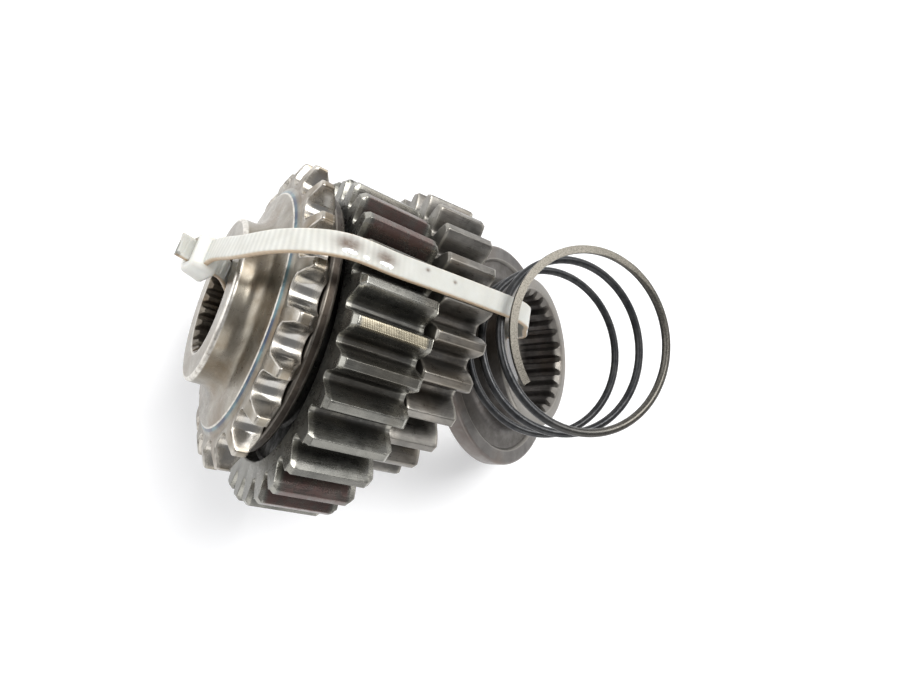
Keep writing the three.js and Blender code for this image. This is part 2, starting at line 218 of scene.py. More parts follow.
class Outline:
    """A toothed outline around an axis. Half of a tooth is given from the middle of the gullet to the
    middle of the tooth, as (radius, angle) with the angle counted from the tooth's middle."""

    def __init__(self, teeth, half_tooth):
        tooth = half_tooth + [(r, -angle) for r, angle in half_tooth[-2:0:-1]]
        turns = np.arange(teeth)[:, None] * FULL_TURN / teeth
        self.radius = np.tile([r for r, _ in tooth], teeth)
        angle = (turns + np.array([angle for _, angle in tooth])[None]).ravel()
        self.directions = np.column_stack([np.cos(angle), np.sin(angle)])
        self.tooth = np.repeat(np.arange(teeth), len(tooth))
        self.xy = self.directions * self.radius[:, None]
        along = np.roll(self.xy, -1, 0) - np.roll(self.xy, 1, 0)
        normal = np.column_stack([along[:, 1], -along[:, 0]])
        self.normal = normal / np.linalg.norm(normal, axis=1, keepdims=True)
        low, high = self.radius.min(), self.radius.max()
        self.height = (self.radius - low) / (high - low)

    def inside(self, limit, inset=0.0):
        """The outline moved inward by inset, and cut off at a radius."""
        points = self.xy - inset * self.normal
        reach = np.linalg.norm(points, axis=1)
        return points * np.minimum(1, limit / reach)[:, None]


def involute_outline(teeth, tip, corner):
    module = 2 * tip / (teeth + 2)
    base = module * teeth / 2 * math.cos(PRESSURE_ANGLE)
    root = tip - (2 + ROOT_CLEARANCE) * module

    def involute(angle):
        return math.tan(angle) - angle

    def half(r):
        """Half the angle that a tooth takes up at a radius."""
        pressure = math.acos(min(1, base / r))
        return math.pi / (2 * teeth) + involute(PRESSURE_ANGLE) - involute(pressure)

    def flank(share):
        r = root + share * (tip - root)
        fillet = 0.28 * half(root) * max(0, 1 - share / 0.26) ** 2
        return r, -(half(r) + fillet)

    gullet = [
        (root, -math.pi / teeth + step * (math.pi / teeth - 1.36 * half(root)))
        for step in (0, 0.5, 0.85)
    ]
    flanks = [flank(share) for share in (0.03, 0.09, 0.17, 0.27, 0.4, 0.55, 0.7, 0.83)]
    top = half(tip)
    tip_corner = [
        (tip - corner, -half(tip - corner)), (tip - 0.35 * corner, -top + 0.25 * corner / tip),
        (tip, -top + corner / tip), (tip, -0.5 * top), (tip, 0),
    ]
    return Outline(teeth, gullet + flanks + tip_corner)


def chain_outline():
    """The sprocket's teeth: a round seat for each roller, and straight sides up to the tip."""
    pitch_r = CHAIN_PITCH / (2 * math.sin(math.pi / SPROCKET_TEETH))
    seat_r = ROLLER_R + SEAT_CLEARANCE
    half = []
    for degrees in (0, 9, 18, 27, 36, 45, 54, 64):
        angle = math.radians(degrees)
        x, y = pitch_r - seat_r * math.cos(angle), seat_r * math.sin(angle)
        half.append((math.hypot(x, y), math.atan2(y, x) - math.pi / SPROCKET_TEETH))
    tip = SPROCKET_TIP_R
    (r, angle), tip_angle = half[-1], -1 / tip
    for share in (0.4, 0.75, 0.93):
        half.append((r + share * (tip - r), angle + share * (tip_angle - angle)))
    half += [(tip - 0.06, tip_angle + 0.1 / tip), (tip, tip_angle + 0.35 / tip), (tip, 0)]
    return Outline(SPROCKET_TEETH, half)


def spline_outline(teeth, root, tip):
    """The splines of a bore. Angles are counted in steps from one spline to the next."""
    half = [(tip, -0.5), (tip, -0.42), (tip, -0.35), (tip + 0.08, -0.325)]
    for share in (0.25, 0.5, 0.75):
        half.append((tip + share * (root - tip), -0.32 + share * 0.18))
    half += [(root - 0.08, -0.145), (root, -0.12), (root, -0.06), (root, 0)]
    return Outline(teeth, [(r, part * FULL_TURN / teeth) for r, part in half])


# ---- Pieces that turn ----


def rounded_step(skin, r, z, r_edge, z_edge, **marks):
    """A rounded corner from (r, z) to (r_edge, z_edge), bulging to the corner's far side."""
    for degrees in (0, 30, 60, 90):
        angle = math.radians(degrees)
        skin.ring(r + (r_edge - r) * math.sin(angle), z + (z_edge - z) * (1 - math.cos(angle)), **marks)


def hub_and_flange(skin):
    """From the hub's end face over its hollow cone and the domed flange to the foot of the teeth."""
    skin.rings([(SPROCKET_SEAM_R, HUB_END), (HUB_R - HUB_CORNER - 0.2, HUB_END)])
    rounded_step(skin, HUB_R - HUB_CORNER, HUB_END, HUB_R, HUB_END + HUB_CORNER, wear=1)
    skin.rings([(HUB_R, HUB_END + 1), (HUB_R, HUB_END + 1.5), (HUB_R, HUB_END + 2.4)])
    for degrees in range(8, 82, 8):
        angle = math.radians(degrees)
        skin.ring(HUB_R + HUB_FILLET_OUT * (1 - math.cos(angle)),
                  HUB_FILLET_START + HUB_FILLET_RISE * math.sin(angle))
    skin.rings(FLANGE_DOME)
    skin.ring(FLANGE_R - 0.14, FLANGE_FACE - 0.05, wear=1)
    skin.ring(FLANGE_R, FLANGE_FACE + 0.03, wear=1)
    for step, drop, heat_tint in ((0.14, 0.11, 1), (0.55, 0.34, 1), (0.8, 0.48, 0.3)):
        skin.ring(FLANGE_R + step, FLANGE_FACE + drop, tint=heat_tint)
    skin.ring(FLANGE_FOOT_R - 0.15, SPROCKET_FRONT - 0.08)
    skin.ring(FLANGE_FOOT_R, SPROCKET_FRONT, soil=0.3)


def sprocket_teeth(skin, teeth):
    """From the foot of the teeth, over their sides and rims, to the back face."""
    radius, inner = teeth.radius, FLANGE_FOOT_R
    middle = np.minimum(TOOTH_BEVEL_R, inner + 0.5 * (radius - inner))

    def bevel(r, face, tip_z):
        share = np.clip((r - TOOTH_BEVEL_R) / (SPROCKET_TIP_R - TOOTH_BEVEL_R), 0, 1)
        return face + (tip_z - face) * share

    def side(face, tip_z, inward):
        """From the flat of the tooth's side to its edge, and over it."""
        rows = [
            (middle, 0.0, 0.0), ((middle + radius) / 2, 0.0, 0.0), (radius, 0.3, 0.0),
            (radius, 0.08, 0.1), (radius, 0.0, 0.3),
        ]
        for reach, inset, drop in rows:
            xy = teeth.directions * reach[:, None] - inset * teeth.normal
            z = bevel(np.linalg.norm(xy, axis=1), face, tip_z) + inward * drop
            yield xy, z, 0.7 * (drop > 0 or inset > 0.2)

    for xy, z, wear in side(SPROCKET_FRONT, 0, 1):
        skin.outline(xy, z, wear=wear)
    for z in (0.7, 1.6, 2.5):
        polished = 1 - teeth.height**3
        skin.outline(teeth.xy, z, patch=polished)
    # The back side: painted shade with the soiling at the roots of the teeth and over the back face.
    for xy, z, wear in reversed(list(side(SPROCKET_BACK, SPROCKET_TIP_FLAT, -1))):
        skin.outline(xy, z, wear=wear, soil=0.25 * (1 - teeth.height))
    skin.rings([(r, SPROCKET_BACK) for r in (inner, 20, SPROCKET_SEAM_R)], soil=0.6)


def sprocket_bore():
    splines = spline_outline(SHAFT_SPLINES, SHAFT_ROOT_R, SHAFT_TIP_R)
    chamfer_r = SHAFT_ROOT_R + 0.1
    bore = Skin(splines.directions)
    bore.ring(SPROCKET_SEAM_R, SPROCKET_BACK, soil=0.6)
    bore.ring(SHAFT_ROOT_R + 0.3, SPROCKET_BACK, wear=0.6)
    for depth in (0, 0.35, 0.7):
        bore.ring(np.maximum(splines.radius, chamfer_r - depth), SPROCKET_BACK - depth)
    # Painted shade with the soiling all along the bore, a little stronger at the roots of the splines.
    for z in (2, -1.5, -5):
        bore.ring(splines.radius, z, soil=0.9 + 0.1 * splines.height)
    for depth in (1.1, 0.8, 0.5, 0.2):
        bore.ring(np.maximum(splines.radius, chamfer_r - depth), HUB_END + depth, soil=0.6)
    bore.ring(SHAFT_ROOT_R + 0.3, HUB_END, wear=1)
    bore.rings([(SHAFT_ROOT_R + 0.6, HUB_END), (SPROCKET_SEAM_R, HUB_END)])
    return bore


def sprocket_skins():
    teeth = chain_outline()
    outer = Skin(teeth.directions)
    hub_and_flange(outer)
    sprocket_teeth(outer, teeth)
    return [outer, sprocket_bore()]


def ring_skin(profile, columns, edge, soil):
    """A ring with every corner of its (radius, z) profile rounded."""
    skin = Skin(circle(columns))
    corners = [np.array(corner, float) for corner in profile]
    for index, corner in enumerate(corners):
        following = corners[(index + 1) % len(corners)]
        before, after = corners[index - 1] - corner, following - corner
        before_length, after_length = np.linalg.norm(before), np.linalg.norm(after)
        start = corner + before / before_length * min(edge, before_length / 2.5)
        end = corner + after / after_length * min(edge, after_length / 2.5)
        for share in (0, 0.33, 0.67, 1):
            point = (1 - share) ** 2 * start + 2 * share * (1 - share) * corner + share**2 * end
            skin.ring(*point, soil=soil, wear=0.3)
        next_start = following - after / after_length * edge
        for share in (0.08, 0.5, 0.92):
            skin.ring(*(end + share * (next_start - end)), soil=soil)
    return skin


def disc_skin():
    return ring_skin(
        [(DISC_BORE_R, DISC_FRONT), (DISC_R, DISC_FRONT), (DISC_R, DISC_BACK), (DISC_BORE_R, DISC_BACK)],
        columns=192, edge=DISC_EDGE, soil=0.35,
    )


def gear_skin(gear):
    teeth = involute_outline(gear["teeth"], gear["tip"], gear["corner"])
    front, back = -gear["chamfer"], gear["flat"] + gear["chamfer"]
    cone, edge = gear["tip"] + 0.1, gear["edge"]
    skin = Skin(teeth.directions)
    # Painted shade that darkens the roots of the teeth, carried with the soiling.
    gullet = 0.5 * (1 - teeth.height) ** 3

    def face(z, inward):
        """Rings of one end face, from the bore to the foot of the teeth: r, z, wear and soiling, with
        painted shade at its full on the floor and walls of the sunk recess.
        """
        deep = z + inward * gear["depth"]
        return [
            (GEAR_BORE_R, z + inward * 0.4, 0.3, 0.5), (GEAR_BORE_R + 0.4, z, 1, 0.2),
            (gear["hub"] - 0.3, z, 0.2, 0.3), (gear["hub"], z + inward * 0.3, 1, 0.3),
            (gear["hub"] + 0.15, deep - inward * 0.6, 0, 0.8), (gear["hub"] + 0.7, deep, 0, 1),
            (gear["recess"] - 0.7, deep, 0, 1), (gear["recess"] - 0.1, deep - inward * 0.6, 0, 0.8),
            (gear["recess"], z + inward * 0.25, 0.8, 0.5), (gear["recess"] + 0.25, z, 0.8, 0.3),
        ]

    def tooth_end(z, inward):
        """Outlines over the rounded edge of one end face and the chamfer: xy, z, wear and soil."""
        at = gear["chamfer"]
        yield teeth.inside(cone - at - 0.35, edge), z, 0.3, 0.1
        yield teeth.inside(cone - at + 0.02, 0.45 * edge), z + inward * 0.12 * edge, 0.6, 0.1
        yield teeth.inside(cone - at + 0.2, 0.12 * edge), z + inward * 0.45 * edge, 0.9, 0
        yield teeth.inside(cone - at + edge), z + inward * edge, 1, 0
        yield teeth.inside(cone - 0.22), z + inward * (at - 0.22), 1, 0
        yield teeth.inside(cone - 0.11), z + inward * (at - 0.06), 0.8, 0
        yield teeth.xy, z + inward * (at + 0.16), 0.15, 0

    for r, z, wear, soil in face(front, 1):
        skin.ring(r, z, wear=wear, soil=soil)
    for xy, z, wear, soil in tooth_end(front, 1):
        skin.outline(xy, z, wear=wear, soil=np.maximum(soil, gullet))
    ground = (teeth.height > 0.97) * (teeth.tooth == GROUND_TOOTH) * (gear is WIDE_GEAR)
    film = np.isin(teeth.tooth, FILMED_TEETH) * (gear is WIDE_GEAR)
    tip_corner = 0.15 * (np.abs(teeth.height - 0.97) < 0.04)
    for share in (0.06, 0.25, 0.5, 0.75, 0.94):
        along = share * gear["flat"]
        skin.outline(teeth.xy, along, wear=tip_corner, soil=gullet, tint=ground, patch=film)
    for xy, z, wear, soil in reversed(list(tooth_end(back, -1))):
        skin.outline(xy, z, wear=wear, soil=np.maximum(soil, gullet))
    for r, z, wear, soil in reversed(face(back, -1)):
        skin.ring(r, z, wear=wear, soil=soil)
    return skin


def bush_skin(gear):
    front, back = -gear["chamfer"], gear["flat"] + gear["chamfer"]
    profile = [(BUSH_BORE_R, front), (BUSH_R, front), (BUSH_R, back), (BUSH_BORE_R, back)]
    return ring_skin(profile, columns=96, edge=0.5, soil=0.5)


def sleeve_outside():
    """From the rear face over the rim and the groove in the flange's face to the collar's end."""
    rear, face, floor = -SLEEVE_LENGTH, SLEEVE_FLANGE_FACE, SLEEVE_FLANGE_FACE - GROOVE_DEPTH
    rim = SLEEVE_FLANGE_R
    outer = Skin(circle(144))
    outer.rings([(SLEEVE_SEAM_R, rear), (rim - 0.9, rear)], soil=0.4)
    outer.rings([
        (rim - 0.55, rear + 0.04), (rim - 0.18, rear + 0.3), (rim - 0.02, rear + 0.65),
        (rim, (rear + face) / 2),
        (rim - 0.02, face - 0.7), (rim - 0.2, face - 0.3), (rim - 0.55, face - 0.04),
    ], wear=0.35, patch=0.4)
    outer.rings([(rim - 0.9, face), (GROOVE_R1 + 0.5, face)], wear=0.1)
    outer.rings([(GROOVE_R1 + 0.1, face - 0.05), (GROOVE_R1 - 0.2, face - 0.4)], wear=0.8)
    outer.rings([
        (GROOVE_R1 - 0.5, floor + 0.25), (GROOVE_R1 - 1.1, floor),
        (GROOVE_R0 + 0.6, floor), (GROOVE_R0 - 0.4, floor + 0.12),
    ], soil=0.5, wear=0.2)
    for degrees in (15, 35, 55, 75):
        angle = math.radians(degrees)
        outer.ring(SLEEVE_R + SLEEVE_FILLET_OUT * (1 - math.sin(angle)) + 0.05,
                   floor + SLEEVE_FILLET_RISE * (1 - math.cos(angle)) + 0.2, soil=0.3)
    outer.rings([(SLEEVE_R, -6.6), (SLEEVE_R, -3.5), (SLEEVE_R, -1)])
    outer.rings([(SLEEVE_R, -0.6), (SLEEVE_R - 0.12, -0.28), (SLEEVE_R - 0.35, -0.08)], wear=1)
    outer.rings([(SLEEVE_R - 0.6, 0), (SLEEVE_SEAM_R, 0)], wear=0.7)
    return outer


def sleeve_bore():
    """From the rear face through the splines to the collar's end."""
    splines = spline_outline(SLEEVE_SPLINES, SLEEVE_ROOT_R, SLEEVE_TIP_R)
    bore = Skin(splines.directions)
    depths = (0.25, 0.6, 1, 1.4)
    lead_ins = [np.maximum(splines.radius, SLEEVE_ROOT_R + 0.42 - 1.1 * depth) for depth in depths]
    bore.rings([(SLEEVE_SEAM_R, -SLEEVE_LENGTH), (SLEEVE_ROOT_R + 0.6, -SLEEVE_LENGTH)], soil=0.4)
    for depth, reach in zip(depths, lead_ins):
        bore.ring(reach, depth - SLEEVE_LENGTH, wear=0.5, soil=0.3)
    # Painted shade with the soiling along the splined bore.
    for z in (-11, -8, -5, -2.2):
        bore.ring(splines.radius, z, soil=0.4)
    for depth, reach in zip(reversed(depths), reversed(lead_ins)):
        bore.ring(reach, -depth, wear=0.5, soil=0.3)
    bore.ring(SLEEVE_ROOT_R + 0.5, -0.08, wear=1)
    bore.rings([(SLEEVE_ROOT_R + 0.75, 0), (SLEEVE_SEAM_R, 0)], wear=0.7)
    return bore


def spring_skin():
    """The wire, swept down its helix and ground flat on both ends, with bare metal on top."""
    skin = Skin()
    around = np.linspace(0, FULL_TURN, WIRE_SIDES, endpoint=False)
    turns = np.linspace(0, SPRING_TURNS, round(SPRING_TURNS * SECTIONS_PER_TURN))
    middle_r = SPRING_R - WIRE_R

    def eased(free):
        """How far the wire has dropped, some free turns after a dead coil."""
        free = np.maximum(free, 0)
        easing, eased_in = free**2 / (2 * EASE_TURNS), free - EASE_TURNS / 2
        return SPRING_PITCH * np.where(free < EASE_TURNS, easing, eased_in)

    first_half = eased(turns - DEAD_TURNS)
    last_half = SPRING_DROP - eased(SPRING_TURNS - DEAD_TURNS - turns)
    drop = np.where(turns < SPRING_TURNS / 2, first_half, last_half)
    for made, angle, z in zip(turns, -turns * FULL_TURN, -drop):
        out = np.array([math.cos(angle), math.sin(angle), 0])
        section = out * (middle_r + WIRE_R * np.cos(around))[:, None]
        section[:, 2] = z + WIRE_R * np.sin(around)
        ground = section[:, 2] > GROUND_HEIGHT
        section[:, 2] = np.clip(section[:, 2], -SPRING_DROP - GROUND_HEIGHT, GROUND_HEIGHT)
        rubbed = (np.sin(around) > 0.2) * np.clip((0.95 - made) * 4, 0, 0.8)
        skin.row(section, tint=np.maximum(ground, rubbed))
    return skin


# ---- Cable tie ----


def centripetal(points, samples):
    """A centripetal Catmull-Rom curve through the points: samples of it at even distances, and
    how far along it each one is."""
    ends = [2 * points[0] - points[1]], [2 * points[-1] - points[-2]]
    held = np.concatenate([ends[0], points, ends[1]])
    curve = []
    for p0, p1, p2, p3 in zip(held, held[1:], held[2:], held[3:]):
        d0, d1, d2 = (math.sqrt(np.linalg.norm(b - a)) for a, b in ((p0, p1), (p1, p2), (p2, p3)))
        t1 = d1 * ((p1 - p0) / d0 - (p2 - p0) / (d0 + d1) + (p2 - p1) / d1)
        t2 = d1 * ((p2 - p1) / d1 - (p3 - p1) / (d1 + d2) + (p3 - p2) / d2)
        for t in np.arange(STEPS_PER_STOP) / STEPS_PER_STOP:
            rise = (-3 * p1 + 3 * p2 - 2 * t1 - t2) * t**2 + (2 * p1 - 2 * p2 + t1 + t2) * t**3
            curve.append(p1 + t1 * t + rise)
    curve = np.array(curve + [points[-1]])
    lengths = np.concatenate([[0], np.cumsum(np.linalg.norm(np.diff(curve, axis=0), axis=1))])
    even = np.linspace(0, lengths[-1], samples)
    return np.column_stack([np.interp(even, lengths, curve[:, axis]) for axis in range(3)]), even


def head_axes():
    """The directions along the strap where it leaves the head, and through the head's slot."""
    level = np.array([1.0, 0, 0])
    up = np.cross(level, STRAP_ACROSS)
    along = level * math.cos(HEAD_CLIMB) + up * math.sin(HEAD_CLIMB)
    through = -level * math.sin(HEAD_CLIMB) + up * math.cos(HEAD_CLIMB)
    return along, through


def strap_stops():
    """The strap's whole route: out of the head, round the loop, and through the slot to its cut end."""
    along, through = head_axes()
    stops = [HEAD_AT + along * (HEAD_ALONG / 2 - 1), HEAD_AT + along * (HEAD_ALONG / 2 + 2)]
    stops += [np.array(point, float) for point in STRAP_ROUTE]
    stops += [HEAD_AT - through * (HEAD_THROUGH / 2 + 2), HEAD_AT.copy()]
    stops += [HEAD_AT + through * (HEAD_THROUGH / 2 + TAIL_STUB)]
    return np.array(stops)


def strap_section():
    """The strap's cross section, as (across, out): a smooth outer face, and rails beside the ribs."""
    half, thick = STRAP_WIDTH / 2, STRAP_THICKNESS / 2
    corner = [(-half, 0), (0.02 - half, 0.34), (0.18 - half, thick - 0.06)]
    outer_face = [(x, thick) for x in np.linspace(0.45 - half, half - 0.45, 16)]
    rail = [(half - 0.45, -thick), (1.7, -0.52), (1.6, -0.36), (0.6, -0.36)]
    return np.array(
        corner + outer_face + [(-x, y) for x, y in corner[:0:-1]] + [(-x, -y) for x, y in corner]
        + rail + [(-x, y) for x, y in rail[::-1]] + [(x, -y) for x, y in corner[:0:-1]]
    )


def strap_skin():
    middle, at = centripetal(strap_stops(), STRAP_SECTIONS)
    heading = np.gradient(middle, axis=0)
    heading /= np.linalg.norm(heading, axis=1, keepdims=True)
    across = STRAP_ACROSS - (heading @ STRAP_ACROSS)[:, None] * heading
    across /= np.linalg.norm(across, axis=1, keepdims=True)
    out = np.cross(heading, across)

    section = strap_section()
    ribbed = (np.abs(section[:, 0]) < RIBBED_HALF_WIDTH) & (section[:, 1] < 0)
    top = (np.abs(section[:, 0]) < 2.0) & (section[:, 1] > 0.5)
    blisters = np.random.default_rng(7).random((STRAP_SECTIONS, len(section)))

    def spread(spots, length):
        """How strongly the spots mark each point of the section, at a length along the strap."""
        near = [
            np.exp(-(((length - spot) / long) ** 2) - ((section[:, 0] - side) / wide) ** 2)
            for spot, side, long, wide in spots
        ]
        return np.minimum(1, sum(near)) * top

    skin = Skin()
    for index, length in enumerate(at):
        shape = section.copy()
        flare = 1 + 0.16 * math.exp(-((length / 2.6) ** 2))  # the strap widens into the head
        shape[:, 0] *= flare
        shape[ribbed, 1] -= RIB_DEPTH * (length % RIB_PITCH) / RIB_PITCH
        scorch, flake = spread(SCORCHES, length), spread(FLAKES, length)
        shape[:, 1] += BLISTER_HEIGHT * flake * blisters[index] - SCORCH_DEPTH * scorch
        points = middle[index] + across[index] * shape[:, :1] + out[index] * shape[:, 1:]
        if index == STRAP_SECTIONS - 1:  # the tail is cut at a slant
            points += heading[index] * (0.2 * (shape[:, :1] - STRAP_WIDTH / 2))
        # The ribs show through the nylon near the head, and fade to an even tone further on.
        faded = min(1, max(0, (length - 36) / 12))
        tone = 0.65 + 0.2 * (1 - faded) * math.sin(length * FULL_TURN / RIB_PITCH) + 0.35 * faded
        side = np.abs(shape[:, 0]) / (STRAP_WIDTH / 2 * flare)
        skin.row(points, soil=scorch, patch=flake, tint=tone, wear=side)
    return skin


def rounded_rectangle(half_a, half_b, radius, per_corner=7):
    """Points around a rectangle, starting on the +a side; each corner has the same count."""
    points = []
    for quarter, (side_a, side_b) in enumerate(((1, 1), (-1, 1), (-1, -1), (1, -1))):
        for step in range(per_corner):
            angle = math.pi / 2 * (quarter + step / (per_corner - 1))
            points.append((
                side_a * (half_a - radius) + radius * math.cos(angle),
                side_b * (half_b - radius) + radius * math.sin(angle),
            ))
    return np.array(points)


def head_skin():
    """The tie's head: a rounded block around its slot, waisted at the middle."""
    along, through = head_axes()
    across = np.cross(through, along)
    a, b, t = HEAD_ALONG / 2, HEAD_ACROSS / 2, HEAD_THROUGH / 2
    slot_a, slot_b = STRAP_THICKNESS / 2 + SLOT_MARGIN, STRAP_WIDTH / 2 + SLOT_MARGIN
    slot = [(0.35, t), (0.1, t - 0.3), (0, t - 0.9), (0, 0), (0, -t + 1.2), (0.1, -t + 0.5), (0.5, -t)]
    block = [
        (0.9, -t), (0.5, -t + 0.07), (0.18, -t + 0.3), (0, -t + 0.8), (0.12, -0.6), (0.2, 0.6),
        (0.3, t - 0.8), (0.5, t - 0.3), (0.85, t - 0.06), (1.3, t),
    ]
    rows = [(rounded_rectangle(slot_a + flare, slot_b + flare, 0.25), z) for flare, z in slot]
    rows += [(rounded_rectangle(a - inset, b - inset, 1.1), z) for inset, z in block]
    skin = Skin()
    for outline, z in rows:
        points = HEAD_AT + outline[:, :1] * along + outline[:, 1:] * across + z * through
        skin.row(points, wear=0.5)
    return skin


# ---- Materials ----


def rgb(r, g, b):
    """A display colour, 0 to 255, as a linear one."""
    return tuple(((c / 255 + 0.055) / 1.055) ** 2.4 if c > 10 else c / 3295 for c in (r, g, b)) + (1,)


class Shader:
    """A material under construction. mm is a point's place on its own piece, in millimetres."""

    def __init__(self, name):
        self.material = bpy.data.materials.new(name)
        self.material.use_nodes = True
        self.tree = self.material.node_tree
        self.tree.nodes.clear()
        self.mm = self.attribute("own_place").outputs["Vector"]

    def node(self, kind, operation=None, **inputs):
        node = self.tree.nodes.new(kind)
        if operation:
            node.operation = operation
        for name, value in inputs.items():
            self.feed(node.inputs[name.replace("_", " ")], value)
        return node

    def feed(self, socket, value):
        if isinstance(value, bpy.types.NodeSocket):
            self.tree.links.new(value, socket)
        else:
            socket.default_value = value

    def attribute(self, name):
        node = self.node("ShaderNodeAttribute")
        node.attribute_name = name
        return node

    def mark(self, name):
        return self.attribute(name).outputs["Fac"]

    def math(self, operation, a, b=0.0):
        node = self.node("ShaderNodeMath", operation)
        self.feed(node.inputs[0], a)
        self.feed(node.inputs[1], b)
        return node.outputs[0]

    def plus(self, a, b):
        return self.math("ADD", a, b)

    def times(self, a, b):
        return self.math("MULTIPLY", a, b)

    def scaled(self, vector, factors):
        node = self.node("ShaderNodeVectorMath", "MULTIPLY")
        self.feed(node.inputs[0], vector)
        node.inputs[1].default_value = factors
        return node.outputs[0]

    def turned(self):
        """Coordinates that only change along and away from the axis, for the marks of a lathe."""
        x, y, z = self.node("ShaderNodeSeparateXYZ", Vector=self.mm).outputs
        reach = self.math("SQRT", self.plus(self.times(x, x), self.times(y, y)))
        return self.node("ShaderNodeCombineXYZ", X=reach, Y=z).outputs[0]

    def noise(self, vector, scale, detail=4.0, roughness=0.55, distortion=0.0):
        node = self.node("ShaderNodeTexNoise", Vector=vector, Scale=scale, Detail=detail,
                         Roughness=roughness, Distortion=distortion)
        return node.outputs["Fac"]

    def ramp(self, value, low, high, start=0.0, end=1.0):
        node = self.node("ShaderNodeMapRange", Value=value)
        for name, number in zip(("From Min", "From Max", "To Min", "To Max"), (low, high, start, end)):
            node.inputs[name].default_value = number
        return node.outputs[0]

    def gray(self, level):
        return self.node("ShaderNodeCombineColor", Red=level, Green=level, Blue=level).outputs[0]

    def mix(self, factor, a, b, blend="MIX"):
        node = self.node("ShaderNodeMix")
        node.data_type, node.blend_type = "RGBA", blend
        for socket, value in ((0, factor), (6, a), (7, b)):
            self.feed(node.inputs[socket], value)
        return node.outputs[2]

    def bump(self, height, strength, distance, normal=None):
        node = self.node("ShaderNodeBump", Height=height, Strength=strength, Distance=distance * MM)
        if normal:
            self.feed(node.inputs["Normal"], normal)
        return node.outputs[0]

    def finish(self, color, roughness, normal, **others):
        shader = self.node("ShaderNodeBsdfPrincipled", Base_Color=color, Roughness=roughness,
                           Normal=normal, **others)
        self.tree.links.new(shader.outputs[0], self.node("ShaderNodeOutputMaterial").inputs[0])
        return self.material


# Each steel's display colours: in its dark and light patches, rubbed bright, soiled and in painted
# shade, and stained
STEELS = {
    "thrust_disc_steel": ((60, 54, 48), (86, 79, 72), (190, 184, 174), (32, 28, 26), (78, 66, 54)),
    "wide_gear_steel": ((84, 84, 81), (112, 111, 106), (166, 164, 155), (48, 46, 44), (98, 92, 82)),
    "narrow_gear_steel": ((94, 92, 88), (128, 125, 120), (166, 162, 153), (50, 47, 44), (112, 102, 88)),
    "sleeve_steel": ((76, 73, 71), (108, 105, 102), (164, 160, 152), (48, 42, 38), (98, 82, 68)),
    "bush_bronze": ((96, 74, 46), (140, 110, 70), (196, 166, 116), (44, 34, 24), (84, 70, 50)),
}
FILM = rgb(94, 68, 64)


def steel(name, lathe=True, roughness=(0.22, 0.42), hatch=False):
    """Machined metal: patches of two tones, tool marks, bright worn edges, and oily dirt with painted
    shade in the hollows.

    lathe is True for a turned surface, and False for teeth cut along the axis. hatch draws the
    strokes of a grinding wheel where the tint mark is."""
    dark, light, worn, soil, stain = (rgb(*color) for color in STEELS[name])
    s = Shader(name)
    if lathe:
        lay = s.scaled(s.turned(), (7.0, 7.0, 1.0))
    else:
        lay = s.scaled(s.mm, (5.0, 5.0, 0.35))
    tool_marks = s.noise(lay, 1.0, 3.0, 0.6)
    patches = s.ramp(s.noise(s.mm, 0.13, 6.0, 0.62, 0.6), 0.36, 0.64)
    blotch = s.noise(s.mm, 0.55, 8.0, 0.66, 0.3)
    speck = s.noise(s.mm, 4.5, 4.0, 0.7)

    color = s.mix(patches, dark, light)
    color = s.mix(s.ramp(s.noise(s.mm, 0.075, 3.0), 0.5, 0.66, 0, 0.5), color, stain)
    grain = s.times(s.ramp(tool_marks, 0.3, 0.7, 0.84, 1.12), s.ramp(speck, 0.3, 0.7, 0.95, 1.04))
    color = s.mix(1.0, color, s.gray(grain), "MULTIPLY")
    # Dirt and painted shade: bores, recesses and tooth roots darken towards the soiled colour.
    dirt_and_shade = s.times(s.mark("soil"), s.ramp(blotch, 0.3, 0.58, 0.35, 1.0))
    color = s.mix(dirt_and_shade, color, soil)
    broken = s.plus(blotch, s.times(speck, 0.3))
    color = s.mix(s.times(s.mark("wear"), s.ramp(broken, 0.45, 0.8, 0.45, 0.8)), color, worn)
    color = s.mix(s.times(s.mark("patch"), s.ramp(blotch, 0.35, 0.6, 0.25, 0.7)), color, FILM)
    if hatch:
        _, y, z = s.node("ShaderNodeSeparateXYZ", Vector=s.mm).outputs
        slant = s.plus(s.times(z, 18.0), s.times(y, 5.0))
        strokes = s.ramp(s.math("SINE", slant), -0.6, 0.6)
        bare = s.mix(strokes, rgb(138, 128, 108), rgb(200, 192, 170))
        color = s.mix(s.mark("tint"), color, bare)

    rough = s.plus(s.ramp(blotch, 0.35, 0.65, *roughness), s.ramp(tool_marks, 0.3, 0.7, -0.04, 0.05))
    rough = s.plus(rough, s.times(dirt_and_shade, 0.2))
    normal = s.bump(tool_marks, 0.3, 0.012)
    normal = s.bump(s.plus(s.times(speck, 0.4), blotch), 0.3, 0.012, normal)
    return s.finish(color, rough, normal, Metallic=0.9)


